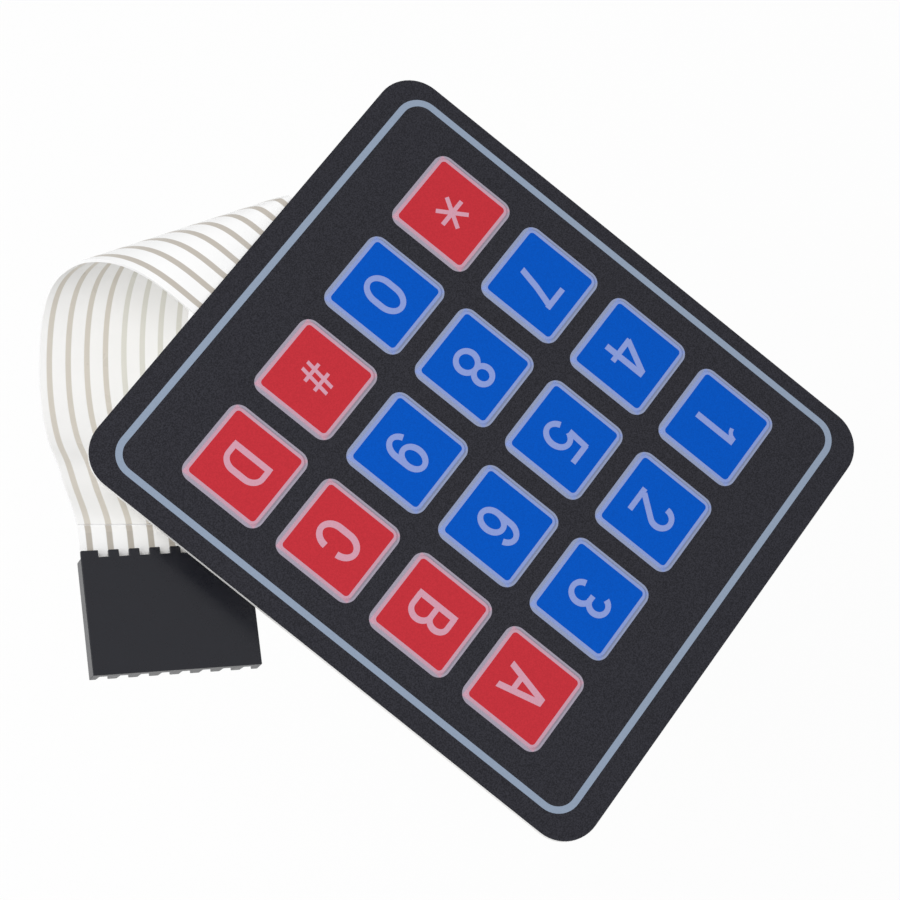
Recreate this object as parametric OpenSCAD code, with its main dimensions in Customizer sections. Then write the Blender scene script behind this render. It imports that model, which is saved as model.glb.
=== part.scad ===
// Four-by-four membrane keypad with a curled film tail and an eight-way socket.
// The origin is the centre of the rear face. +X runs along a row of keys, from the first
// to the last, +Y runs towards the first row, and +Z points out of the keys.

/* [Pad] */
// Width of the pad
pad_w = 69; // [66:0.5:90]
// Height of the pad
pad_h = 77.2; // [70:0.1:100]
// Corner radius of the pad
pad_r = 5; // [1:0.5:8]

/* [Keys] */
// Distance between key centres along a row
key_pitch_x = 14.6; // [13.5:0.1:15.2]
// Distance between key centres along a column
key_pitch_y = 14.5; // [13.5:0.1:16]
// Side of a key's coloured field
field_w = 10.2; // [9:0.05:10.5]
// Corner radius of the field
field_r = 0.5; // [0.1:0.1:0.8]
// Width of the pale frame around a field
frame_w = 0.9; // [0.7:0.05:1.3]
// Outer corner radius of the frame
frame_r = 1.6; // [0.9:0.05:2]
// Height of the embossed key
emboss_h = 0.2; // [0.1:0.02:0.3]
// Width of the emboss's sloping edge
emboss_slope = 0.25; // [0.1:0.05:0.4]
// Distance from the frame's outer edge to the foot of the emboss
emboss_inset = 0.25; // [0.1:0.05:0.3]
// Shift of the print towards the first column
print_shift_x = 0.3; // [0:0.05:0.5]
// Shift of the print towards the last row
print_shift_y = 0.15; // [0:0.05:0.5]

/* [Border line] */
// Margin from the pad's side edges to the border line
border_margin_x = 2.25; // [1.5:0.05:2.5]
// Margin from the pad's upper and lower edges to the border line
border_margin_y = 3.1; // [1.5:0.05:4]
// Width of the border line
border_line = 0.88; // [0.4:0.02:1.2]
// Outer corner radius of the border line
border_r = 3.3; // [1.5:0.1:5]

/* [Layers] */
// Thickness of the release liner
liner_t = 0.1; // [0.05:0.01:0.2]
// Thickness of the rear adhesive
rear_glue_t = 0.1; // [0.05:0.01:0.2]
// Thickness of each circuit film
film_t = 0.125; // [0.075:0.005:0.2]
// Thickness of the spacer
spacer_t = 0.15; // [0.1:0.01:0.3]
// Thickness of the overlay's adhesive
overlay_glue_t = 0.05; // [0.03:0.01:0.15]
// Thickness of the graphic overlay
overlay_t = 0.2; // [0.125:0.005:0.3]
// Depth of the printed fields in the overlay
ink_t = 0.04; // [0.02:0.01:0.08]
// Diameter of the switch window under each key
window_d = 8; // [5:0.1:10]
// Width of the air channels between the windows
vent_w = 1; // [0.5:0.1:2]

/* [Tail] */
// Width of the tail
tail_w = 20.3; // [19:0.1:22]
// Length of the tail, from the pad's edge to the bores of the housing
tail_l = 70.8; // [69:0.1:90]
// Bare end of the tail, where only the upper film reaches the housing
tail_bare = 3.4; // [1.5:0.1:6]
// Width of the fingers that the film's end is cut into
finger_w = 1.1; // [0.6:0.05:1.2]

/* [Socket] */
// Distance between neighbouring contacts
contact_pitch = 2.54; // [2.3:0.01:2.6]
// Length of the housing without its teeth
housing_l = 14.5; // [13:0.1:20]
// Thickness of the housing
housing_t = 2.5; // [2.3:0.05:3.5]
// Width of the housing's two end walls
end_wall = 0.7; // [0.5:0.05:1.5]
// Side of the bore that holds a contact
bore_w = 1.6; // [1.5:0.05:1.9]
// Length of the teeth that reach back over the film
tooth_l = 0.85; // [0.5:0.05:1.5]
// Width of the notches between the teeth
notch_w = 1.25; // [0.8:0.05:1.6]
// Thickness of the wall at the mating end
front_wall = 0.8; // [0.5:0.05:1.5]
// Thickness of the face over the mouths that take the pins
mouth_roof = 1; // [0.7:0.05:1.1]
// Width of a mouth under that face
mouth_top = 1.05; // [0.8:0.05:1.3]
// Width of a mouth at the lower face
mouth_foot = 1.4; // [1.3:0.05:1.7]
// Length of the latch windows in the lower face
window_l = 2.2; // [1.5:0.1:3]
// Width of the latch windows in the lower face
window_w = 1.2; // [0.8:0.05:1.4]
// Sheet thickness of a contact
contact_t = 0.15; // [0.1:0.01:0.2]
// Side clearance of a contact in its bore
contact_gap = 0.05; // [0.02:0.01:0.1]
// Length of a contact's spring box
box_l = 6; // [4:0.1:7]
// Length of a contact's crimp
crimp_l = 3; // [2:0.1:4]

/* [Hidden] */
$fn = 48;
rows = 4;
columns = 4;
ways = 8;
seam = 0.6;
cut = 0.5;

z_rear_glue = liner_t;
z_lower = z_rear_glue + rear_glue_t;
z_spacer = z_lower + film_t;
z_upper = z_spacer + spacer_t;
z_overlay_glue = z_upper + film_t;
z_overlay = z_overlay_glue + overlay_glue_t;
z_face = z_overlay + overlay_t;
z_tail = z_spacer + spacer_t / 2;

frame_side = field_w + 2 * frame_w;
emboss_side = frame_side - 2 * emboss_inset;
emboss_r = frame_r - emboss_inset;
housing_w = (ways - 1) * contact_pitch + bore_w + 2 * end_wall;
contact_w = bore_w - 2 * contact_gap;
box_y = housing_l - front_wall - box_l;
roof_t = (housing_t - bore_w) / 2;

// The tail's curl: share of the tail's length in percent, and turn in degrees per percent there.
tail_turn = [[0, 4.9], [3, -5.5], [6, -7.9], [10, -5], [15, -1.8], [22, -1.1], [34, -4.9], [46, -1.9],
    [58, -2.6], [70, -2.2], [79, 2.8], [86, -2.3], [92, 2.7], [96, 18.1]];
// The lines that the tail bends about: share of the length, and lead of the line at the tail's edge,
// in percent of the length too.
tail_lead = [[0, 0], [13, -12.2], [17, -10.4], [23, -7.3], [33, -4.6], [43, -3.1], [65, -1.9], [82, 3.6],
    [90, 2.3], [96, 0]];
tail_turn_end = 96;
tail_steps = 70;
tail_step = tail_l / tail_steps;

// Turns a vector by an angle about a unit axis.
function turned(v, axis, angle) = v * cos(angle) + cross(axis, v) * sin(angle)
    + axis * (axis * v) * (1 - cos(angle));

// A frame of the tail is its point, its direction, its upper normal and its cross direction.
tail_start = [[0, -pad_h / 2, z_tail], [0, -1, 0], [0, 0, 1], [-1, 0, 0]];

// The share of the tail's length at a distance along it, in percent.
function tail_share(s) = 100 * s / tail_l;

// The rise along the tail of the straight line across it, for each millimetre from its middle.
function tail_slant(s) = lookup(tail_share(s), tail_lead) * tail_l / 100 / (tail_w / 2);

// The turn in degrees per millimetre; the last of the tail is straight.
function tail_rate(s) = tail_share(s) > tail_turn_end ? 0 : lookup(tail_share(s), tail_turn) * 100 / tail_l;

// Carries a frame one step on, about the slanting line that the tail bends about there.
function tail_next(f, middle) =
    let(slant = tail_slant(middle),
        stretch = sqrt(1 + slant * slant),
        axis = (slant * f[1] + f[3]) / stretch,
        angle = tail_rate(middle) * stretch * tail_step)
    [f[0] + turned(f[1], axis, angle / 2) * tail_step, turned(f[1], axis, angle),
        turned(f[2], axis, angle), turned(f[3], axis, angle)];

// The frames along the tail, one at each step.
tail_frames = [for (i = 0, f = tail_start; i <= tail_steps;
    f = tail_next(f, (i + 0.5) * tail_step),
    i = i + 1) f];
tail_end = tail_frames[tail_steps];

// One straight line across the tail at a frame, at two heights above its middle surface.
function tail_line(i, low, high) =
    let(f = tail_frames[i],
        reach = (f[3] + tail_slant(i * tail_step) * f[1]) * tail_w / 2)
    [f[0] - reach + f[2] * low, f[0] + reach + f[2] * low,
        f[0] + reach + f[2] * high, f[0] - reach + f[2] * high];

// A strip of the tail between two heights, from inside the pad to the given frame and straight on.
module tail_strip(low, high, last, further = 0) {
    inside = [for (p = tail_line(0, low, high)) p - tail_start[1] * seam];
    beyond = [for (p = tail_line(last, low, high)) p + tail_frames[last][1] * further];
    lines = concat([inside], [for (i = [0 : last - 1]) tail_line(i, low, high)], [beyond]);
    end = 4 * len(lines) - 4;
    sides = [for (i = [0 : 4 : end - 4], k = [0 : 3], half = [0, 1])
        let(a = i + k, b = i + (k + 1) % 4)
        half == 0 ? [a, b, a + 4] : [b, b + 4, a + 4]];
    polyhedron([for (line = lines, p = line) p],
        concat([[3, 2, 1, 0], [end, end + 1, end + 2, end + 3]], sides), convexity = 8);
}

// The last frame before a distance from the tail's end.
function frame_before(gap) = floor((tail_l - gap) / tail_step);

// A rectangle with round corners, centred on the origin.
module rounded(w, h, r) {
    square([w - 2 * r, h], center = true);
    square([w, h - 2 * r], center = true);
    for (x = [-1, 1], y = [-1, 1])
        translate([x * (w / 2 - r), y * (h / 2 - r)])
            circle(r);
}

// A sheet with the pad's outline.
module sheet(z, t) {
    translate([0, 0, z])
        linear_extrude(t)
            rounded(pad_w, pad_h, pad_r);
}

// Puts its child on every key; with a colour given, only on the keys of that colour.
module on_keys(colour = "both") {
    for (row = [0 : rows - 1], column = [0 : columns - 1]) {
        red = column == columns - 1 || (row == rows - 1 && column != 1);
        if (colour == "both" || (colour == "red") == red)
            translate([(column - (columns - 1) / 2) * key_pitch_x - print_shift_x,
                ((rows - 1) / 2 - row) * key_pitch_y - print_shift_y, 0])
                children();
    }
}

// The embossed form of one key, with sloping sides and coned corners, standing on a height.
module emboss(z) {
    side = emboss_side / 2;
    centre = side - emboss_r;
    slope_profile = [[-side, 0], [side, 0], [side - emboss_slope, emboss_h],
        [emboss_slope - side, emboss_h]];
    translate([0, 0, z]) {
        for (turn = [0, 90])
            rotate([90, 0, turn])
                translate([0, 0, -centre])
                    linear_extrude(2 * centre)
                        polygon(slope_profile);
        for (x = [-1, 1], y = [-1, 1])
            translate([x * centre, y * centre, 0])
                cylinder(h = emboss_h, r1 = emboss_r, r2 = emboss_r - emboss_slope);
    }
}

// The overlay's upper form around one key, lowered by a depth.
module key_form(lowered) {
    reach = frame_side / 2 + cut;
    translate([-reach, -reach, z_overlay - lowered])
        cube([2 * reach, 2 * reach, overlay_t]);
    emboss(z_face - lowered);
}

// The printed frame of one key, a thin skin that follows the emboss.
module key_frame() {
    difference() {
        intersection() {
            key_form(0);
            translate([0, 0, z_overlay])
                linear_extrude(overlay_t + emboss_h)
                    difference() {
                        rounded(frame_side, frame_side, frame_r);
                        rounded(field_w, field_w, field_r);
                    }
        }
        key_form(ink_t);
    }
}

// The printed field of one key.
module key_field() {
    translate([0, 0, z_face + emboss_h - ink_t])
        linear_extrude(ink_t)
            rounded(field_w, field_w, field_r);
}

// The printed line around the keys.
module border() {
    w = pad_w - 2 * border_margin_x;
    h = pad_h - 2 * border_margin_y;
    translate([-print_shift_x, -print_shift_y, z_face - ink_t])
        linear_extrude(ink_t)
            difference() {
                rounded(w, h, border_r);
                rounded(w - 2 * border_line, h - 2 * border_line, border_r - border_line);
            }
}

module release_liner() {
    color("ivory")
        sheet(0, liner_t);
}

module rear_adhesive() {
    color("gainsboro")
        sheet(z_rear_glue, rear_glue_t);
}

module lower_circuit() {
    color("whitesmoke") {
        sheet(z_lower, film_t);
        tail_strip(z_lower - z_tail, z_spacer - z_tail, frame_before(tail_bare));
    }
}

// Glue-coated spacer: a round window under each key, and air channels down the columns.
module spacer() {
    color("aliceblue") {
        difference() {
            sheet(z_spacer, spacer_t);
            on_keys()
                translate([0, 0, z_spacer - cut])
                    cylinder(h = spacer_t + 2 * cut, d = window_d);
            for (column = [0 : columns - 1])
                translate([(column - (columns - 1) / 2) * key_pitch_x - print_shift_x - vent_w / 2,
                    -(rows - 1) / 2 * key_pitch_y - print_shift_y, z_spacer - cut])
                    cube([vent_w, (rows - 1) * key_pitch_y, spacer_t + 2 * cut]);
        }
        tail_strip(z_spacer - z_tail, z_upper - z_tail, frame_before(tail_bare));
    }
}

// Upper film: its end is cut into fingers, one for each contact.
module upper_circuit() {
    gap = contact_pitch - finger_w;
    color("whitesmoke")
        difference() {
            union() {
                sheet(z_upper, film_t);
                tail_strip(z_upper - z_tail, z_overlay_glue - z_tail, tail_steps, crimp_l);
            }
            at_tail_end() {
                for (i = [1 : ways - 1])
                    translate([way_x(i + 1) + finger_w / 2, 0, -cut])
                        cube([gap, crimp_l + cut, 2 * cut]);
                for (side = [0, 1])
                    mirror([side, 0, 0])
                        translate([way_x(1) + finger_w / 2, 0, -cut])
                            cube([tail_w / 2, crimp_l + cut, 2 * cut]);
            }
        }
}

module overlay_adhesive() {
    color("gainsboro")
        difference() {
            sheet(z_overlay_glue, overlay_glue_t);
            on_keys()
                translate([0, 0, z_overlay_glue - cut])
                    linear_extrude(overlay_glue_t + 2 * cut)
                        rounded(emboss_side, emboss_side, emboss_r);
        }
}

// Embossed film, hollow under each key, with seats for the printed fields.
module graphic_overlay() {
    color([0.17, 0.17, 0.19])
        difference() {
            union() {
                sheet(z_overlay, overlay_t);
                on_keys()
                    emboss(z_face);
            }
            on_keys() {
                emboss(z_overlay);
                key_field();
                key_frame();
            }
            border();
        }
}

module border_ink() {
    color([0.55, 0.62, 0.73])
        border();
}

module frame_ink() {
    color([0.62, 0.65, 0.8])
        on_keys()
            key_frame();
}

module blue_key_ink() {
    color([0.03, 0.33, 0.77])
        on_keys("blue")
            key_field();
}

module red_key_ink() {
    color([0.8, 0.2, 0.24])
        on_keys("red")
            key_field();
}

// Puts its children on the tail's end: X across the tail, Y on along it, Z away from its middle.
module at_tail_end() {
    p = tail_end[0];
    y = tail_end[1];
    z = tail_end[2];
    x = tail_end[3];
    multmatrix([[x[0], y[0], z[0], p[0]], [x[1], y[1], z[1], p[1]], [x[2], y[2], z[2], p[2]],
        [0, 0, 0, 1]])
        children();
}

// The place of a contact across the housing.
function way_x(i) = ((ways + 1) / 2 - i) * contact_pitch;

// The opening of a mouth: a slot that widens towards the lower face.
module mouth() {
    top = mouth_roof - housing_t / 2;
    foot = housing_t / 2;
    rotate([90, 0, 0])
        linear_extrude(front_wall + 2 * cut)
            polygon([[-mouth_top / 2, top], [mouth_top / 2, top], [mouth_foot / 2, foot],
                [mouth_foot / 2, foot + cut], [-mouth_foot / 2, foot + cut], [-mouth_foot / 2, foot]]);
}

// Socket housing: a bore, a mouth and a latch window for each contact, and teeth over the film.
module connector_housing() {
    color([0.2, 0.2, 0.22])
        at_tail_end()
            difference() {
                translate([-housing_w / 2, -tooth_l, -housing_t / 2])
                    cube([housing_w, tooth_l + housing_l, housing_t]);
                translate([-housing_w / 2 - cut, -tooth_l - cut, -bore_w / 2])
                    cube([housing_w + 2 * cut, tooth_l + cut, housing_t]);
                for (i = [1 : ways - 1])
                    translate([(way_x(i) + way_x(i + 1) - notch_w) / 2, -tooth_l - cut,
                        -housing_t / 2 - cut])
                        cube([notch_w, tooth_l + cut, roof_t + 2 * cut]);
                for (i = [1 : ways])
                    translate([way_x(i), 0, 0]) {
                        translate([-bore_w / 2, -cut, -bore_w / 2])
                            cube([bore_w, housing_l - front_wall + cut, bore_w]);
                        translate([0, housing_l + cut, 0])
                            mouth();
                        translate([-window_w / 2, box_y - window_l, 0])
                            cube([window_w, window_l, housing_t]);
                    }
            }
}

// One contact: a spring box behind the mouth, a neck, and a crimp closed on the film's finger.
module contact(i) {
    film_z = z_upper - z_tail;
    floor_z = bore_w / 2 - contact_t;
    color("gold")
        at_tail_end()
            translate([way_x(i), 0, 0]) {
                difference() {
                    translate([-contact_w / 2, box_y, -bore_w / 2])
                        cube([contact_w, box_l, bore_w]);
                    translate([contact_t - contact_w / 2, box_y - cut, contact_t - bore_w / 2])
                        cube([contact_w - 2 * contact_t, box_l + 2 * cut, bore_w - 2 * contact_t]);
                }
                translate([-finger_w / 2, 0, floor_z])
                    cube([finger_w, box_y, contact_t]);
                difference() {
                    translate([-contact_w / 2, 0, film_z - contact_t])
                        cube([contact_w, crimp_l, bore_w / 2 - film_z + contact_t]);
                    translate([-finger_w / 2, -cut, film_z])
                        cube([finger_w, crimp_l + 2 * cut, film_t]);
                    translate([contact_t - contact_w / 2, -cut, film_z + film_t + contact_t])
                        cube([contact_w - 2 * contact_t, crimp_l + 2 * cut,
                            floor_z - film_z - film_t - contact_t]);
                }
            }
}

release_liner();
rear_adhesive();
lower_circuit();
spacer();
upper_circuit();
overlay_adhesive();
graphic_overlay();
border_ink();
frame_ink();
blue_key_ink();
red_key_ink();
connector_housing();
contact(1);  // contact_1
contact(2);  // contact_2
contact(3);  // contact_3
contact(4);  // contact_4
contact(5);  // contact_5
contact(6);  // contact_6
contact(7);  // contact_7
contact(8);  // contact_8
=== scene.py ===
"""Looks of a four-by-four membrane keypad: matte print, legends, curled tail and pin socket."""

import math
from itertools import accumulate

import bpy
import numpy as np
from bpy.props import FloatProperty, FloatVectorProperty, PointerProperty
from bpy.types import Operator, Panel, PropertyGroup
from mathutils import Matrix, Vector


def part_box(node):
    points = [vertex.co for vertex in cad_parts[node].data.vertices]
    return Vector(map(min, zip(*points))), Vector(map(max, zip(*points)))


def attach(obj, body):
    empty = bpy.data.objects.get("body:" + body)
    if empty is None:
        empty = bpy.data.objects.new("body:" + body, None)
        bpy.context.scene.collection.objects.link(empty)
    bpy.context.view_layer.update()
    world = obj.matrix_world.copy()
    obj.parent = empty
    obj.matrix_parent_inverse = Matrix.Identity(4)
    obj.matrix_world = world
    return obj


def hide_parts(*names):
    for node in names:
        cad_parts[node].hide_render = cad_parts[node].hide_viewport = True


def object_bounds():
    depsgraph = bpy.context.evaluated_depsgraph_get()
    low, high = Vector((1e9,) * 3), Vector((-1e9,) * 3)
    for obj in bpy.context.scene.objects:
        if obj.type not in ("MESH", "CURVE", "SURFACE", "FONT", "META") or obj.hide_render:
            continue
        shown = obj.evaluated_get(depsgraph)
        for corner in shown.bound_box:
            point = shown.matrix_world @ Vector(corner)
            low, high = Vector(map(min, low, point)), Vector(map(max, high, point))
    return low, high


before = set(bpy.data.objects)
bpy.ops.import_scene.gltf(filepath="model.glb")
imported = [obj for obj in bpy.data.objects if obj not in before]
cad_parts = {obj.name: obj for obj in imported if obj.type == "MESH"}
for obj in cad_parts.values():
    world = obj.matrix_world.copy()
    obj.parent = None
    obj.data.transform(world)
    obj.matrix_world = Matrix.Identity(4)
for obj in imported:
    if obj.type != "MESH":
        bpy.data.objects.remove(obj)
CAD_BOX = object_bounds()

bl_info = {
    "name": "Membrane Keypad",
    "version": (1, 0, 0),
    "blender": (4, 5, 0),
    "location": "View3D > Sidebar > Keypad",
    "description": "Finishes of a membrane keypad, with its legends, film tail, socket and stage",
    "category": "Object",
}

MM = 0.001
ROWS = 4
COLUMNS = 4
WAYS = 8
LEGEND_ROWS = ("123A", "456B", "789C", "*0#D")
RED_LEGENDS = "ABCD*#"
PAD_LOW, PAD_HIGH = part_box("graphic_overlay")
KEY_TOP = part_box("blue_key_ink")[1].z
LOWER_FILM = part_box("rear_adhesive")[1].z
UPPER_FILM_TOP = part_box("overlay_adhesive")[0].z

# Share of the tail's length in percent, and its turn there in degrees per percent.
TAIL_TURN = np.array(((0, 4.9), (3, -5.5), (6, -7.9), (10, -5.0), (15, -1.8), (22, -1.1),
                      (34, -4.9), (46, -1.9), (58, -2.6), (70, -2.2), (79, 2.8), (86, -2.3),
                      (92, 2.7), (96, 18.1)))
# Share of the length, and lead of the bending line at the tail's edge, both in percent.
TAIL_LEAD = np.array(((0, 0), (13, -12.2), (17, -10.4), (23, -7.3), (33, -4.6), (43, -3.1),
                      (65, -1.9), (82, 3.6), (90, 2.3), (96, 0)))
# From this share on the tail is straight. The solid bends in steps, which are made finer here.
TAIL_TURN_END = 96.0
TAIL_STEPS = 70
TAIL_FINE = 4

# Degrees between the points of a legend's arcs, and points in a quarter circle of the pad.
ARC_STEP = 9
CORNER_POINTS = 13
# Each stroke of a legend is higher than the one before by this share of the print's thickness.
STROKE_LIFT = 0.1
TINY = 1e-12
SHARP_ANGLE = math.radians(40.0)
FLOOR_REACH = 3.0
BLACK = (0.0, 0.0, 0.0, 1.0)
WHITE = (1.0, 1.0, 1.0, 1.0)
FLOOR_GREY = (0.95, 0.95, 0.95, 1.0)


def srgb(red, green, blue):
    """Linear colour, with full alpha, of a screen colour from 0 to 255."""
    share = np.array((red, green, blue)) / 255.0
    linear = np.where(share <= 0.04045, share / 12.92, ((share + 0.055) / 1.055) ** 2.4)
    return (*linear.tolist(), 1.0)


def length(name, description, millimetres):
    """A length property with its default in millimetres."""
    return FloatProperty(name=name, description=description, default=millimetres * MM, min=0.0,
                         unit="LENGTH", precision=5)


def colour(name, description, red, green, blue):
    """A colour property with its default as a screen colour."""
    return FloatVectorProperty(name=name, description=description, default=srgb(red, green, blue),
                               size=4, min=0.0, max=1.0, subtype="COLOR")


class KeypadSizes(PropertyGroup):
    """Sizes of the print, the tail and the socket's edges."""

    key_pitch_x: length("Key Pitch X", "Distance between key centres along a row", 14.6)
    key_pitch_y: length("Key Pitch Y", "Distance between key centres along a column", 14.5)
    print_shift_x: length("Print Shift X", "Shift of the print towards the first column", 0.3)
    print_shift_y: length("Print Shift Y", "Shift of the print towards the last row", 0.15)
    frame_band: length("Frame Band", "Distance from a key's centre to the frame's grey foot", 5.55)
    stroke_upright: length("Upright Stroke", "Width of a legend's upright strokes", 0.84)
    stroke_level: length("Level Stroke", "Width of a legend's level strokes", 0.71)
    legend_rise: length("Legend Rise", "Thickness of the printed legends", 0.005)
    grain: length("Grain", "Size of the overlay's matte grain", 0.16)
    pad_radius: length("Pad Radius", "Corner radius of the pad", 5.0)
    tail_width: length("Tail Width", "Width of the tail", 20.3)
    tail_length: length("Tail Length", "Length of the tail, from the pad to the socket", 70.8)
    tail_bare: length("Bare End", "End of the tail where only the upper film goes on", 3.4)
    tail_seam: length("Tail Seam", "Length of the tail inside the pad", 0.6)
    film: length("Film", "Thickness of a circuit film", 0.125)
    trace_pitch: length("Trace Pitch", "Distance between the tail's traces", 2.54)
    trace_width: length("Trace Width", "Width of a trace", 0.75)
    finger_width: length("Finger Width", "Width of the film's fingers in the socket", 1.1)
    finger_length: length("Finger Length", "Length of the film's fingers in the socket", 3.0)
    socket_edge: length("Socket Edge", "Radius of the socket's moulded edges", 0.08)


class KeypadColours(PropertyGroup):
    """Colours of the keypad's finishes."""

    overlay: colour("Overlay", "Dark ground of the overlay", 47, 47, 53)
    line: colour("Border Line", "Line around the keys", 146, 161, 182)
    blue: colour("Blue Fields", "Fields of the digit keys", 1, 85, 194)
    red: colour("Red Fields", "Fields of the letter and sign keys", 196, 50, 60)
    blue_frame_inner: colour("Blue Frame, Inner", "Frame next to a blue field", 138, 157, 213)
    blue_frame_outer: colour("Blue Frame, Outer", "Foot of the frame of a blue key", 146, 157, 189)
    red_frame_inner: colour("Red Frame, Inner", "Frame next to a red field", 201, 157, 175)
    red_frame_outer: colour("Red Frame, Outer", "Foot of the frame of a red key", 165, 157, 173)
    blue_legend: colour("Blue Key Legends", "Legends on the blue fields", 140, 158, 218)
    red_legend: colour("Red Key Legends", "Legends on the red fields", 212, 158, 176)
    film: colour("Film", "Circuit film of the tail", 254, 254, 254)
    # Upper film's traces: the trace ink darkened further by painted shade, which stands for the
    # shade on the tail's first leg.
    trace_upper_shaded: colour("Shaded Upper Traces", "Traces of the upper film, darkened by painted shade", 194, 187, 177)
    trace_near: colour("Lower Traces", "Traces on the lower film's own face", 217, 211, 201)
    trace_far: colour("Far Traces", "Traces seen through the lower film", 226, 225, 217)
    glue: colour("Glue", "Glue sheets and spacer", 244, 244, 241)
    liner: colour("Liner", "Peel-off paper at the back", 244, 242, 236)
    socket: colour("Socket", "Moulded socket housing", 25, 26, 33)
    contact: colour("Contacts", "Plated contacts", 226, 202, 148)


class StageSettings(PropertyGroup):
    """Camera and light of the stage."""

    eye: FloatVectorProperty(name="Camera Place", description="Where the camera stands",
                             default=(0.128817, -0.015477, 0.319516), subtype="XYZ", unit="LENGTH")
    target: FloatVectorProperty(name="Camera Target", description="Middle of the picture",
                                default=(0.003246, -0.003456, 0.001028), subtype="XYZ",
                                unit="LENGTH")
    roll: FloatProperty(name="Camera Roll", description="Turn of the picture about the view",
                        default=math.radians(-43.866), subtype="ANGLE")
    lens: FloatProperty(name="Lens", description="Focal length in millimetres", default=110.18,
                        min=1.0)
    floor_drop: length("Floor Drop", "Distance from the tail's lowest point to the floor", 120.0)
    floor_white: FloatProperty(name="Floor White", description="Share of plain white in the floor",
                               default=0.94, min=0.0, max=1.0, subtype="FACTOR")
    sky: FloatProperty(name="Sky", description="Soft light from all around", default=0.57, min=0.0)
    lamp: FloatProperty(name="Lamp", description="Power of the soft lamp", default=2.3, min=0.0,
                        unit="POWER")
    lamp_place: FloatVectorProperty(name="Lamp Place", description="Where the soft lamp hangs",
                                    default=(0.27, -0.27, 0.54), subtype="XYZ", unit="LENGTH")
    lamp_side: length("Lamp Side", "Side of the soft lamp", 420.0)


class Shade:
    """A socket of a node tree that takes part in sums, products and comparisons."""

    def __init__(self, tree, socket):
        self.tree = tree
        self.socket = socket

    def math(self, operation, *values):
        return self.tree.node("ShaderNodeMath", {"operation": operation},
                              dict(enumerate((self, *values))))

    def __add__(self, other):
        return self.math("ADD", other)

    __radd__ = __add__

    def __sub__(self, other):
        return self.math("SUBTRACT", other)

    def __rsub__(self, other):
        return self * -1.0 + other

    def __mul__(self, other):
        return self.math("MULTIPLY", other)

    __rmul__ = __mul__

    def __truediv__(self, other):
        return self.math("DIVIDE", other)

    def __abs__(self):
        return self.math("ABSOLUTE")

    def __gt__(self, other):
        return self.math("GREATER_THAN", other)

    def __lt__(self, other):
        return self.math("LESS_THAN", other)

    def __or__(self, other):
        return self.math("MAXIMUM", other)

    def nearest(self):
        return self.math("ROUND")

    def fraction(self):
        return self.math("FRACT")


class Tree:
    """A node tree that is filled by expressions."""

    def __init__(self, owner):
        owner.use_nodes = True
        self.nodes = owner.node_tree.nodes
        self.links = owner.node_tree.links

    def feed(self, socket, value):
        """Links a shade to a socket, or sets a plain value on it."""
        if isinstance(value, Shade):
            self.links.new(value.socket, socket)
        else:
            socket.default_value = value

    def node(self, kind, settings=None, inputs=None, output=0):
        """Adds a node: its settings first, then the values or links of its sockets."""
        node = self.nodes.new(kind)
        for name, value in (settings or {}).items():
            setattr(node, name, value)
        for key, value in (inputs or {}).items():
            self.feed(node.inputs[key], value)
        return Shade(self, node.outputs[output])

    def place(self, output="Object"):
        """The three coordinates of a point on the piece."""
        point = self.node("ShaderNodeTexCoord", output=output)
        return [self.node("ShaderNodeSeparateXYZ", None, {0: point}, axis) for axis in range(3)]

    def step(self, value, low, high):
        """Smooth step from 0 at low to 1 at high."""
        return self.node("ShaderNodeMapRange", {"interpolation_type": "SMOOTHSTEP"},
                         {0: value, 1: low, 2: high, 3: 0.0, 4: 1.0})

    def mix(self, share, first, second):
        """Mix of two colours."""
        return self.node("ShaderNodeMix", {"data_type": "RGBA"}, {0: share, 6: first, 7: second}, 2)

    def noise(self, size, detail=2.0, stretch=None):
        """Noise with cells of a size in metres."""
        point = self.node("ShaderNodeTexCoord", output="Object")
        if stretch:
            point = self.node("ShaderNodeMapping", None, {"Vector": point, "Scale": stretch})
        return self.node("ShaderNodeTexNoise", None,
                         {"Vector": point, "Scale": 1.0 / size, "Detail": detail})


class Finish(Tree):
    """A surface material of one piece."""

    def __init__(self, name, **constants):
        self.material = bpy.data.materials.new(name)
        super().__init__(self.material)
        self.surface = self.nodes["Principled BSDF"]
        for key, value in constants.items():
            self.set(key.replace("_", " "), value)

    def set(self, socket, value):
        self.feed(self.surface.inputs[socket], value)

    def bump(self, height, distance, strength):
        """Tilts the surface by a height that is worth a distance in metres."""
        inputs = {"Strength": strength, "Distance": distance, "Height": height}
        self.set("Normal", self.node("ShaderNodeBump", None, inputs))


def shaded(linear, factor):
    """A colour made lighter or darker by a factor."""
    return (*(min(1.0, part * factor) for part in linear[:3]), 1.0)


def matte_print(name, base, sizes, speckle, tint=None):
    """Matte printed film: a fine grain that speckles the colour and roughens the surface."""
    patch_size, depth = 60.0 * sizes.grain, 0.012 * MM
    finish = Finish(name, Specular_IOR_Level=0.06)
    grain = finish.noise(sizes.grain, 2.0)
    patch = finish.noise(patch_size, 3.0)
    spots = finish.step(grain, 0.3, 0.7)
    if tint:
        ground = tint(finish)
        dark = finish.mix(speckle, ground, BLACK)
        light = finish.mix(speckle, ground, WHITE)
    else:
        dark, light = shaded(base, 1.0 - speckle), shaded(base, 1.0 + speckle)
    finish.set("Base Color", finish.mix(spots, dark, light))
    finish.set("Roughness", 0.56 + 0.08 * grain + 0.06 * patch)
    finish.bump(grain, depth, 0.6)
    return finish.material


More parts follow.
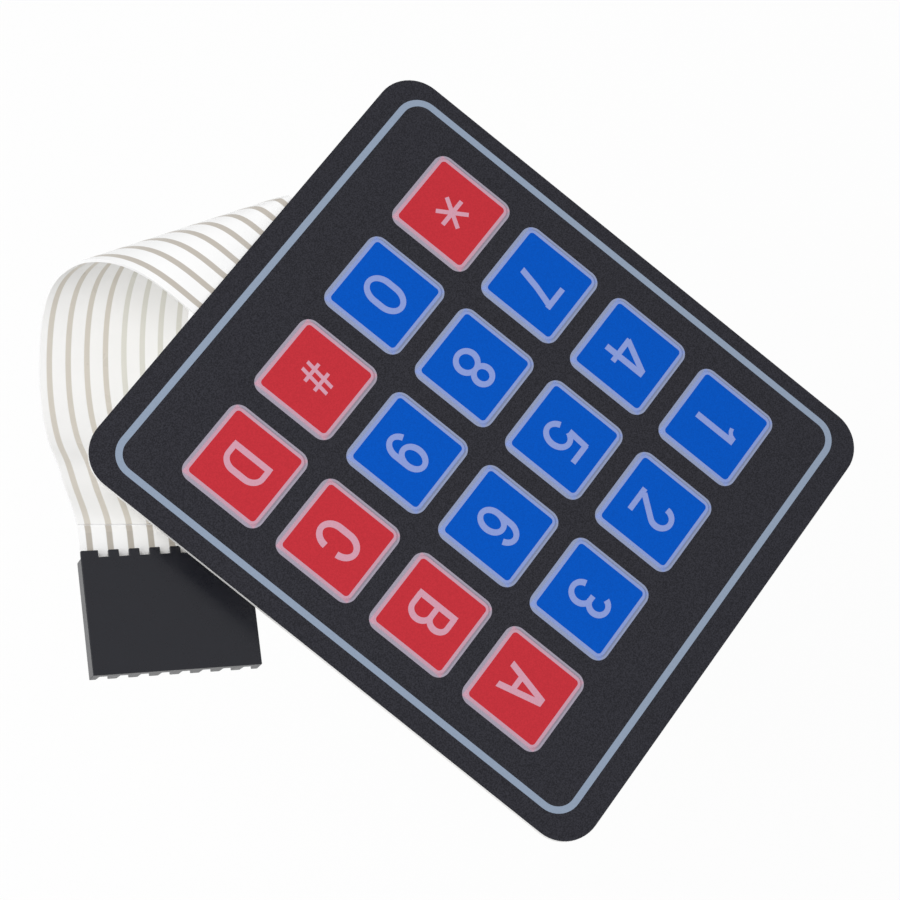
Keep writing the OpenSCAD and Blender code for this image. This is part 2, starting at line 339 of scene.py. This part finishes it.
def frame_tint(colours, sizes):
    """Frame colour: a tinted inner band and a greyer foot, by the key's own square and colour.

    The distance from the middle of the nearest key, the larger of the two along X and Y, tells the
    band from the foot. The last column is red, and so is the last row but for its second key.
    """
    soft = 0.12 * MM

    def tint(finish):
        x, y, _ = finish.place()
        across = (x + sizes.print_shift_x) / sizes.key_pitch_x + (COLUMNS - 1) / 2
        down = (ROWS - 1) / 2 - (y + sizes.print_shift_y) / sizes.key_pitch_y
        column, row = across.nearest(), down.nearest()
        reach = abs(across - column) * sizes.key_pitch_x | abs(down - row) * sizes.key_pitch_y
        foot = finish.step(reach, sizes.frame_band - soft, sizes.frame_band + soft)
        red = (column > COLUMNS - 1.5) | (row > ROWS - 1.5) * (abs(column - 1.0) > 0.5)
        inner = finish.mix(red, tuple(colours.blue_frame_inner), tuple(colours.red_frame_inner))
        outer = finish.mix(red, tuple(colours.blue_frame_outer), tuple(colours.red_frame_outer))
        return finish.mix(foot, inner, outer)

    return tint


def film_finish(name, colours, sizes, trace_colour, far_side):
    """Circuit film: milky, with printed traces at their pitch across the tail.

    The flat map gives the distance along the tail and the distance from its middle. A point is on a
    trace where its distance from the nearest trace, the fraction of a pitch from one half, is under
    half a trace. On the side whose sign is far_side, the traces are those of the film behind, and
    paler; zero stands for no such side.
    """
    trace_soft, bare_soft, depth = 0.06 * MM, 0.1 * MM, 0.01 * MM
    cloud_size, fibre_size = 3.0 * MM, 0.25 * MM
    finish = Finish(name, Specular_IOR_Level=0.5)
    along, across, _ = finish.place("UV")
    offset = abs((across / sizes.trace_pitch).fraction() - 0.5) * sizes.trace_pitch
    half = sizes.trace_width / 2
    trace = 1.0 - finish.step(offset, half - trace_soft, half + trace_soft)
    trace = trace * (abs(across) < WAYS / 2 * sizes.trace_pitch)
    cloud = finish.noise(cloud_size, 3.0)
    fibre = finish.noise(fibre_size, 2.0)
    far = (across * far_side) > 0.0
    # For the upper film the trace colour holds painted shade, so it is darker than the lower film's
    # own traces.
    ink = finish.mix(far, tuple(trace_colour), tuple(colours.trace_far))
    bare_start = sizes.tail_length - sizes.tail_bare
    bare = finish.step(along, bare_start - bare_soft, bare_start + bare_soft)
    ink = finish.mix(bare * 0.3, ink, shaded(trace_colour, 0.7))
    ground = finish.mix(cloud, shaded(colours.film, 0.985), tuple(colours.film))
    finish.set("Base Color", finish.mix(trace, ground, ink))
    finish.set("Roughness", 0.18 + 0.1 * cloud + 0.06 * trace)
    finish.bump(trace * 0.5 + fibre * 0.25, depth, 0.5)
    return finish.material


def paper_finish(name, base):
    """Coated peel-off paper: long pale fibres over a cloudy ground."""
    fibre_size, cloud_size, depth = 0.4 * MM, 6.0 * MM, 0.01 * MM
    finish = Finish(name, Specular_IOR_Level=0.3)
    fibre = finish.noise(fibre_size, 4.0, (1.0, 0.25, 1.0))
    cloud = finish.noise(cloud_size, 3.0)
    blend = fibre * 0.6 + cloud * 0.4
    finish.set("Base Color", finish.mix(blend, shaded(base, 0.93), shaded(base, 1.03)))
    finish.set("Roughness", 0.46 + 0.2 * fibre)
    finish.bump(fibre, depth, 0.5)
    return finish.material


def glue_finish(name, base):
    """Clear glue and spacer sheets: pale and slightly cloudy at their cut edges."""
    cloud_size = 1.2 * MM
    finish = Finish(name, Specular_IOR_Level=0.35)
    cloud = finish.noise(cloud_size, 3.0)
    finish.set("Base Color", finish.mix(cloud, shaded(base, 0.9), shaded(base, 1.04)))
    finish.set("Roughness", 0.36 + 0.2 * cloud)
    return finish.material


def socket_finish(name, base):
    """Moulded plastic: fine spark-eroded grain with faint flow marks along the tool."""
    grain_size, flow_size, depth = 0.12 * MM, 2.5 * MM, 0.004 * MM
    finish = Finish(name, Specular_IOR_Level=0.3)
    grain = finish.noise(grain_size, 2.0)
    flow = finish.noise(flow_size, 3.0)
    blend = grain * 0.6 + flow * 0.4
    finish.set("Base Color", finish.mix(blend, shaded(base, 0.86), shaded(base, 1.15)))
    finish.set("Roughness", 0.2 + 0.1 * grain + 0.08 * flow)
    finish.bump(grain, depth, 0.5)
    return finish.material


def contact_finish(name, base):
    """Plated strip: bright metal with fine rolling marks."""
    mark_size = 0.15 * MM
    finish = Finish(name, Metallic=1.0)
    mark = finish.noise(mark_size, 3.0, (1.0, 0.15, 1.0))
    finish.set("Base Color", finish.mix(mark, shaded(base, 0.9), shaded(base, 1.05)))
    finish.set("Roughness", 0.18 + 0.16 * mark)
    return finish.material


def dress(name, material):
    """Gives a solid of the frame its finish."""
    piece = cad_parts[name]
    if not piece.material_slots:
        piece.data.materials.append(material)
    for slot in piece.material_slots:
        slot.material = material
    return piece


def carried(stations, closed=False):
    """Profile carried along a path: stations[i, k] is corner k of the profile at place i.

    Corners k and k + 1 at places i and i + 1 make a quad; the first and the last profile close the
    ends of an open path, and a closed path runs back into its first profile.
    """
    count, corners = stations.shape[:2]
    here = np.arange(count * corners).reshape(count, corners)
    there = np.roll(here, -1, 0)
    caps = []
    if not closed:
        caps = [here[0].tolist(), here[-1, ::-1].tolist()]
        here, there = here[:-1], there[:-1]
    quads = np.stack((here, there, np.roll(there, -1, 1), np.roll(here, -1, 1)), -1)
    return stations.reshape(-1, 3), quads.reshape(-1, 4).tolist() + caps


def joined(shells):
    """One surface from several: faces are counted on from each shell's first point."""
    points, faces, first = [], [], 0
    for shell_points, shell_faces in shells:
        points.append(shell_points)
        faces += [[first + corner for corner in face] for face in shell_faces]
        first += len(shell_points)
    return np.concatenate(points), faces


def new_piece(name, points, faces, material, slot, flat=None):
    """A mesh piece that rides on the pad, with a flat map where one is given."""
    mesh = bpy.data.meshes.new(name)
    mesh.from_pydata(points.tolist(), [], faces)
    if flat is not None:
        corner = np.empty(len(mesh.loops), dtype=np.int32)
        mesh.loops.foreach_get("vertex_index", corner)
        mesh.uv_layers.new(name="flat").data.foreach_set("uv", flat[corner].ravel())
    mesh.materials.append(material)
    mesh.shade_smooth()
    mesh.set_sharp_from_angle(angle=SHARP_ANGLE)
    piece = bpy.data.objects.new(name, mesh)
    bpy.context.collection.objects.link(piece)
    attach(piece, "root")
    return piece


def arc(x, y, across, up, start, end):
    """Part of an ellipse about (x, y): half axes across and up, between two angles in degrees."""
    angle = np.radians(np.linspace(start, end, 2 + int(abs(end - start) / ARC_STEP)))
    return np.stack((x + across * np.cos(angle), y + up * np.sin(angle)), -1)


def trail(*parts):
    """Points and arcs, one after the other, as one line."""
    return np.concatenate([np.atleast_2d(np.asarray(part, dtype=float)) for part in parts])


def legend_lines():
    """Strokes of each legend: middle line in millimetres from the key's centre, weight and ends.

    The ends are square to the stroke, or level for a slanting stroke, or a ring has none.
    """
    six = [(trail(arc(0.0, -1.0, 1.29, 1.64, 0, 351)), 1.0, "ring"),
           (trail(arc(0.02, 0.95, 1.31, 1.68, 22, 180), (-1.29, -0.8)), 1.0, "square")]
    nine = [(-line, weight, ends) for line, weight, ends in six]
    shift = np.array((0.13, 0.0))
    return {
        "0": [(trail(arc(0, 0.63, 1.56, 2.0, 0, 180), arc(0, -0.63, 1.56, 2.0, 180, 360)),
               1.0, "ring")],
        "1": [(trail((0.29, -2.97), (0.29, 2.97)), 1.03, "square"),
              (trail((-1.2, 1.78), (-0.75, 1.88), (-0.3, 2.2), (-0.02, 2.9)), 0.75, "square")],
        "2": [(trail(arc(0.1, 1.2, 1.35, 1.43, 178, -38), (-1.1, -2.35)), 1.0, "square"),
              (trail((-1.68, -2.63), (1.85, -2.63)), 1.03, "square")],
        "3": [(trail(arc(0.0, 1.37, 1.25, 1.27, 160, -84)), 1.0, "square"),
              (trail((-0.5, 0.16), (0.5, 0.16)), 1.0, "square"),
              (trail(arc(0.07, -1.2, 1.35, 1.43, 84, -168)), 1.0, "square")],
        "4": [(trail((0.88, -2.97), (0.88, 2.97)), 1.0, "square"),
              (trail((-1.9, -1.15), (1.98, -1.15)), 1.0, "square"),
              (trail((-1.62, -1.1), (0.72, 2.97)), 0.95, "level")],
        "5": [(trail((-1.2, 2.63), (1.8, 2.63)), 1.03, "square"),
              (trail((-1.25, -0.1), (-1.02, 2.9)), 0.95, "level"),
              (trail(arc(0.15, -0.93, 1.4, 1.7, 150, -160)), 1.0, "square")],
        "6": [(line + shift, weight, ends) for line, weight, ends in six],
        "7": [(trail((-1.5, 2.63), (1.95, 2.63)), 1.03, "square"),
              (trail((-0.05, -2.97), (0.6, -0.1), (1.45, 2.5)), 1.0, "level")],
        "8": [(trail(arc(0.17, 1.43, 1.2, 1.21, 0, 351)), 1.0, "ring"),
              (trail(arc(0.16, -1.21, 1.44, 1.43, 0, 351)), 1.0, "ring")],
        "9": [(line + shift, weight, ends) for line, weight, ends in nine],
        "A": [(trail((-1.6, -2.97), (-0.13, 2.97)), 0.98, "level"),
              (trail((1.6, -2.97), (0.13, 2.97)), 0.98, "level"),
              (trail((-1.1, -1.0), (1.1, -1.0)), 1.0, "square")],
        "B": [(trail((-1.37, -2.95), (-1.37, 2.95)), 1.0, "square"),
              (trail((-1.37, 2.63), arc(0.25, 1.4, 1.1, 1.235, 90, -90), (-1.37, 0.165)),
               1.0, "square"),
              (trail((-1.37, 0.165), arc(0.3, -1.23, 1.3, 1.395, 90, -90), (-1.37, -2.63)),
               1.0, "square")],
        "C": [(trail(arc(0.11, 0.75, 1.5, 1.87, 4, 180), arc(0.11, -0.75, 1.5, 1.87, 180, 356)),
               1.07, "square")],
        "D": [(trail((-1.37, -2.95), (-1.37, 2.95)), 1.0, "square"),
              (trail((-1.37, 2.63), arc(-0.03, 0.93, 1.5, 1.7, 90, 0),
                     arc(-0.03, -0.93, 1.5, 1.7, 0, -90), (-1.37, -2.63)), 1.0, "square")],
        "*": [(trail((-2.15, 0.05), (2.05, 0.05)), 0.82, "square"),
              (trail((-1.3, -1.75), (1.15, 1.85)), 0.72, "square"),
              (trail((-1.3, 1.85), (1.15, -1.75)), 0.72, "square")],
        "#": [(trail((-1.02, -2.2), (-0.38, 2.2)), 0.58, "level"),
              (trail((0.07, -2.2), (0.71, 2.2)), 0.58, "level"),
              (trail((-1.55, 0.75), (1.4, 0.75)), 0.68, "square"),
              (trail((-1.75, -0.92), (1.2, -0.92)), 0.68, "square")],
    }


def ribbon(line, pen, low, high, ends):
    """Flat ribbon along a line in the plane, from height low to height high.

    At each point the pen's half widths reach to both sides along the mitre, which is the sum of the
    two neighbouring side directions divided by one plus their product. A stroke with level ends
    reaches to both sides along X alone.
    """
    closed = ends == "ring"
    ahead = np.roll(line, -1, 0) - line
    ahead /= np.linalg.norm(ahead, axis=1)[:, None] + TINY
    if not closed:
        ahead[-1] = ahead[-2]
    behind = np.roll(ahead, 1, 0)
    if not closed:
        behind[0] = ahead[0]
    side_a, side_b = (np.stack((way[:, 1], -way[:, 0]), -1) for way in (behind, ahead))
    mitre = (side_a + side_b) / (1.0 + (side_a * side_b).sum(1))[:, None]
    if ends == "level":
        mitre = np.sign(ahead[:, 1:]) * np.array((1.0, 0.0)) / np.abs(side_a[:, :1])
    reach = mitre * np.asarray(pen) / 2
    edges = np.stack((line - reach, line + reach, line + reach, line - reach), 1)
    heights = np.broadcast_to(np.array((low, low, high, high))[None, :, None], (len(line), 4, 1))
    return carried(np.concatenate((edges, heights), 2), closed)


def legend_surface(signs, sizes):
    """Strokes of the given signs on their keys, each stroke a hair higher than the one before."""
    lines = legend_lines()
    shells = []
    for row, names in enumerate(LEGEND_ROWS):
        for column, sign in enumerate(names):
            if sign not in signs:
                continue
            x = (column - (COLUMNS - 1) / 2) * sizes.key_pitch_x - sizes.print_shift_x
            y = ((ROWS - 1) / 2 - row) * sizes.key_pitch_y - sizes.print_shift_y
            for order, (line, weight, ends) in enumerate(lines[sign]):
                pen = (sizes.stroke_upright * weight, sizes.stroke_level * weight)
                top = KEY_TOP + sizes.legend_rise * (1.0 + STROKE_LIFT * order)
                shells.append(ribbon(np.array((x, y)) + line * MM, pen, KEY_TOP, top, ends))
    return joined(shells)


def tail_path(sizes):
    """Places, frames, distances and slants along the tail's middle.

    The tail is a strip that bends about straight lines across it and is nowhere stretched. In the
    frame of the strip, with axes across, along and up, each step is a turn about the line
    (1, slant, 0). The frames are the running product of these turns, and the places the running sum
    of the half-turned steps along the strip.
    """
    step = sizes.tail_length / TAIL_STEPS
    share = (np.arange(TAIL_STEPS) + 0.5) * 100.0 / TAIL_STEPS
    lead = np.interp(share, *TAIL_LEAD.T) * sizes.tail_length / 100.0
    slant = lead / (sizes.tail_width / 2)
    turn = np.where(share > TAIL_TURN_END, 0.0, np.interp(share, *TAIL_TURN.T))
    stretch = np.sqrt(1.0 + slant ** 2)
    angle = np.radians(turn * 100.0 / sizes.tail_length) * stretch * step
    angle /= TAIL_FINE
    slant, stretch, angle = (np.repeat(part, TAIL_FINE) for part in (slant, stretch, angle))
    twist = np.zeros((len(angle), 3, 3))
    twist[:, 0, 2] = slant / stretch
    twist[:, 1, 2] = -1.0 / stretch
    twist[:, 2, 0] = -slant / stretch
    twist[:, 2, 1] = 1.0 / stretch

    def turns(by):
        """Turns about the bending lines: 1 + sine * twist + (1 - cosine) * twist squared."""
        by = by[:, None, None]
        return np.eye(3) + np.sin(by) * twist + (1.0 - np.cos(by)) * (twist @ twist)

    start = np.array(((-1.0, 0.0, 0.0), (0.0, -1.0, 0.0), (0.0, 0.0, 1.0))).T
    frames = np.array(list(accumulate(turns(angle), np.matmul, initial=start)))
    moves = (frames[:-1] @ turns(angle / 2))[:, :, 1] * step / TAIL_FINE
    first = np.array((0.0, PAD_LOW.y, (LOWER_FILM + UPPER_FILM_TOP) / 2))
    places = np.concatenate((first[None], first + np.cumsum(moves, 0)))
    distance = np.arange(len(places)) * step / TAIL_FINE
    rise = np.interp(100.0 * distance / sizes.tail_length, *TAIL_LEAD.T) * sizes.tail_length / 100.0
    return places, frames, distance, rise / (sizes.tail_width / 2)


def tail_strip(path, sizes, low, high, end):
    """Tail layer between two heights over its middle surface, from inside the pad to a distance.

    Each profile is a straight line across the tail, lifted along the normal of its frame, which is
    the same all along that line. The flat map is the strip before it was bent.
    """
    places, frames, distance, slant = path
    count = int(round(end / distance[1])) + 1
    side = np.array((-1.0, 1.0, 1.0, -1.0)) * sizes.tail_width / 2
    lift = np.array((low, low, high, high))
    reach = frames[:count, :, 0] + slant[:count, None] * frames[:count, :, 1]
    stations = (places[:count, None] + side[None, :, None] * reach[:, None]
                + lift[None, :, None] * frames[:count, None, :, 2])
    inside = stations[:1] - frames[0, :, 1] * sizes.tail_seam
    points, faces = carried(np.concatenate((inside, stations)))
    along = distance[:count, None] + slant[:count, None] * side
    along = np.concatenate((np.full((1, 4), -sizes.tail_seam), along))
    across = np.broadcast_to(side, along.shape)
    return points, faces, np.stack((along, across), -1).reshape(-1, 2)


def pad_layer(sizes, low, high):
    """Sheet with the pad's outline: quarter circles about four corner centres, from low to high."""
    quarter = np.radians(np.linspace(0.0, 90.0, CORNER_POINTS))
    turn = quarter[None] + np.radians((0.0, 90.0, 180.0, 270.0))[:, None]
    corner = np.array(((1, 1), (-1, 1), (-1, -1), (1, -1)))[:, None]
    half = np.array((PAD_HIGH.x, PAD_HIGH.y)) - sizes.pad_radius
    circle = sizes.pad_radius * np.stack((np.cos(turn), np.sin(turn)), -1)
    outline = (corner * half + circle).reshape(-1, 2)
    ring = np.arange(len(outline))
    after = np.roll(ring, -1)
    sides = np.stack((ring, after, after + len(ring), ring + len(ring)), -1)
    heights = np.repeat((low, high), len(ring))[:, None]
    points = np.concatenate((np.tile(outline, (2, 1)), heights), 1)
    return points, sides.tolist() + [ring[::-1].tolist(), (ring + len(ring)).tolist()]


def finger_shells(path, sizes, low, high):
    """The film's fingers in the socket: a small flat profile carried on from the tail's end."""
    place, across, along, up = (path[0][-1], *path[1][-1].T)
    shells = []
    for way in range(WAYS):
        middle = ((WAYS - 1) / 2 - way) * sizes.trace_pitch
        side = middle + np.array((-1.0, 1.0, 1.0, -1.0)) * sizes.finger_width / 2
        reach = np.array((-sizes.tail_seam, sizes.finger_length))
        shells.append(carried(place + side[None, :, None] * across + reach[:, None, None] * along
                              + np.array((low, low, high, high))[None, :, None] * up))
    return shells


class KEYPAD_OT_overlay(Operator):
    """Give the overlay and its printed fields their matte, grainy finish"""

    bl_idname = "keypad.overlay"
    bl_label = "Overlay and Print"

    def execute(self, context):
        sizes, colours = context.scene.keypad_sizes, context.scene.keypad_colours
        for node, name, base, speckle in (
                ("graphic_overlay", "matte overlay", colours.overlay, 0.38),
                ("border_ink", "border print", colours.line, 0.04),
                ("blue_key_ink", "blue print", colours.blue, 0.07),
                ("red_key_ink", "red print", colours.red, 0.07)):
            dress(node, matte_print(name, base, sizes, speckle))
        tint = frame_tint(colours, sizes)
        dress("frame_ink", matte_print("frame print", None, sizes, speckle=0.03, tint=tint))
        return {"FINISHED"}


class KEYPAD_OT_legends(Operator):
    """Print the legends on the keys"""

    bl_idname = "keypad.legends"
    bl_label = "Key Legends"

    def execute(self, context):
        sizes, colours = context.scene.keypad_sizes, context.scene.keypad_colours
        digits = "".join(LEGEND_ROWS).translate(str.maketrans("", "", RED_LEGENDS))
        for name, signs, base in (("digit_legends", digits, colours.blue_legend),
                                  ("sign_legends", RED_LEGENDS, colours.red_legend)):
            material = matte_print(name.replace("_", " "), base, sizes, speckle=0.04)
            new_piece(name, *legend_surface(signs, sizes), material, "frame_ink")
        return {"FINISHED"}


class KEYPAD_OT_tail(Operator):
    """Make the two circuit films and the spacer, which run out of the pad into the curled tail"""

    bl_idname = "keypad.tail"
    bl_label = "Films and Tail"

    def execute(self, context):
        sizes, colours = context.scene.keypad_sizes, context.scene.keypad_colours
        path = tail_path(sizes)
        middle = (LOWER_FILM + UPPER_FILM_TOP) / 2
        step = sizes.tail_length / TAIL_STEPS
        short = math.floor((sizes.tail_length - sizes.tail_bare) / step) * step
        spacer_low, spacer_high = LOWER_FILM + sizes.film, UPPER_FILM_TOP - sizes.film
        layers = (
            ("lower_film", "lower_circuit", "film", LOWER_FILM, spacer_low, short,
             film_finish("lower film", colours, sizes, colours.trace_near, far_side=1.0)),
            ("spacer_film", "spacer", "glue", spacer_low, spacer_high, short,
             glue_finish("spacer film", colours.film)),
            # The upper film's trace colour is darkened by painted shade of the tail's first leg.
            ("upper_film", "upper_circuit", "film", spacer_high, UPPER_FILM_TOP, sizes.tail_length,
             film_finish("upper film", colours, sizes, colours.trace_upper_shaded, far_side=0.0)),
        )
        for name, node, slot, low, high, end, material in layers:
            strip, faces, flat = tail_strip(path, sizes, low - middle, high - middle, end)
            shells = [(strip, faces), pad_layer(sizes, low, high)]
            if end == sizes.tail_length:
                shells += finger_shells(path, sizes, low - middle, high - middle)
            points, faces = joined(shells)
            plain = np.broadcast_to((0.0, 1.0), (len(points) - len(strip), 2))
            piece = new_piece(name, points, faces, material, slot, np.concatenate((flat, plain)))
            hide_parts(node)
        return {"FINISHED"}


class KEYPAD_OT_socket(Operator):
    """Finish the socket housing, with its moulded edges, and its contacts"""

    bl_idname = "keypad.socket"
    bl_label = "Pin Socket"

    def execute(self, context):
        sizes, colours = context.scene.keypad_sizes, context.scene.keypad_colours
        housing = dress("connector_housing", socket_finish("moulded socket", colours.socket))
        weld = housing.modifiers.new("merged corners", "WELD")
        weld.merge_threshold = 0.001 * MM
        edge = housing.modifiers.new("moulded edges", "BEVEL")
        edge.width = sizes.socket_edge
        edge.segments = 2
        edge.limit_method = "ANGLE"
        edge.angle_limit = SHARP_ANGLE
        plating = contact_finish("plated contacts", colours.contact)
        for way in range(1, WAYS + 1):
            dress(f"contact_{way}", plating)
        return {"FINISHED"}


class KEYPAD_OT_backing(Operator):
    """Finish the glue sheets and the peel-off paper at the back"""

    bl_idname = "keypad.backing"
    bl_label = "Glue and Liner"

    def execute(self, context):
        colours = context.scene.keypad_colours
        glue = glue_finish("glue sheets", colours.glue)
        dress("overlay_adhesive", glue)
        dress("rear_adhesive", glue)
        dress("release_liner", paper_finish("peel-off paper", colours.liner))
        return {"FINISHED"}


class KEYPAD_OT_stage(Operator):
    """Set up the camera, the soft light and the pale floor"""

    bl_idname = "keypad.stage"
    bl_label = "Stage"

    def execute(self, context):
        stage = context.scene.keypad_stage
        self.camera(context, stage)
        self.light(context, stage)
        self.floor(context, stage)
        context.scene.view_settings.view_transform = "Standard"
        return {"FINISHED"}

    def camera(self, context, stage):
        eye, target = Vector(stage.eye), Vector(stage.target)
        view = (target - eye).normalized()
        upright = (Vector((0.0, 0.0, 1.0)) - view * view.z).normalized()
        up = upright * math.cos(stage.roll) + view.cross(upright) * math.sin(stage.roll)
        turn = Matrix((view.cross(up), up, -view)).transposed().to_4x4()
        lens = bpy.data.cameras.new("camera")
        lens.lens = stage.lens
        lens.clip_start = 0.01
        lens.clip_end = 20.0
        camera = bpy.data.objects.new("camera", lens)
        camera.matrix_world = Matrix.Translation(eye) @ turn
        context.collection.objects.link(camera)
        context.scene.camera = camera

    def light(self, context, stage):
        world = bpy.data.worlds.new("soft surround")
        context.scene.world = world
        tree = Tree(world)
        seen = self.seen(tree)
        background = tree.nodes["Background"].inputs
        tree.feed(background["Color"], WHITE)
        tree.feed(background["Strength"], stage.sky + seen * (1.0 - stage.sky))
        data = bpy.data.lights.new("soft lamp", "AREA")
        data.energy = stage.lamp
        data.size = stage.lamp_side
        lamp = bpy.data.objects.new("soft lamp", data)
        place = Vector(stage.lamp_place)
        turn = place.to_track_quat("Z", "Y").to_matrix().to_4x4()
        lamp.matrix_world = Matrix.Translation(place) @ turn
        context.collection.objects.link(lamp)

    def floor(self, context, stage):
        low = CAD_BOX[0].z - stage.floor_drop
        across, along = np.meshgrid((-FLOOR_REACH, FLOOR_REACH), (-FLOOR_REACH, FLOOR_REACH))
        points = np.stack((across.ravel(), along.ravel(), np.full(4, low)), -1)
        mesh = bpy.data.meshes.new("floor")
        mesh.from_pydata(points.tolist(), [], [(0, 1, 3, 2)])
        material = bpy.data.materials.new("pale floor")
        tree = Tree(material)
        matte = tree.node("ShaderNodeBsdfDiffuse", None, {"Color": FLOOR_GREY})
        white = tree.node("ShaderNodeEmission", None, {"Color": WHITE, "Strength": 1.0})
        mixed = tree.node("ShaderNodeMixShader", None,
                          {0: self.seen(tree) * stage.floor_white, 1: matte, 2: white})
        tree.feed(tree.nodes["Material Output"].inputs["Surface"], mixed)
        mesh.materials.append(material)
        floor = bpy.data.objects.new("floor", mesh)
        context.collection.objects.link(floor)

    def seen(self, tree):
        """One for the rays that show the background: seen straight, in gloss or through glass."""
        path = tree.nodes.new("ShaderNodeLightPath")
        rays = [Shade(tree, path.outputs[name])
                for name in ("Is Camera Ray", "Is Glossy Ray", "Is Transmission Ray")]
        return rays[0] | rays[1] | rays[2]


class KEYPAD_PT_keypad(Panel):
    """Lists the keypad's pieces, sizes and colours"""

    bl_label = "Membrane Keypad"
    bl_idname = "KEYPAD_PT_keypad"
    bl_space_type = "VIEW_3D"
    bl_region_type = "UI"
    bl_category = "Keypad"

    def draw(self, context):
        scene = context.scene
        for operator in OPERATORS:
            self.layout.operator(operator.bl_idname)
        for group in (scene.keypad_sizes, scene.keypad_colours, scene.keypad_stage):
            box = self.layout.box()
            for name in group.__annotations__:
                box.prop(group, name)


OPERATORS = (KEYPAD_OT_stage, KEYPAD_OT_tail, KEYPAD_OT_socket, KEYPAD_OT_backing,
             KEYPAD_OT_overlay, KEYPAD_OT_legends)
CLASSES = (KeypadSizes, KeypadColours, StageSettings, *OPERATORS, KEYPAD_PT_keypad)


def register():
    for cls in CLASSES:
        bpy.utils.register_class(cls)
    bpy.types.Scene.keypad_sizes = PointerProperty(type=KeypadSizes)
    bpy.types.Scene.keypad_colours = PointerProperty(type=KeypadColours)
    bpy.types.Scene.keypad_stage = PointerProperty(type=StageSettings)


def unregister():
    del bpy.types.Scene.keypad_stage
    del bpy.types.Scene.keypad_colours
    del bpy.types.Scene.keypad_sizes
    for cls in reversed(CLASSES):
        bpy.utils.unregister_class(cls)


def main():
    register()
    bpy.ops.keypad.stage()
    bpy.ops.keypad.tail()
    bpy.ops.keypad.socket()
    bpy.ops.keypad.backing()
    bpy.ops.keypad.overlay()
    bpy.ops.keypad.legends()


if __name__ == "__main__":
    main()
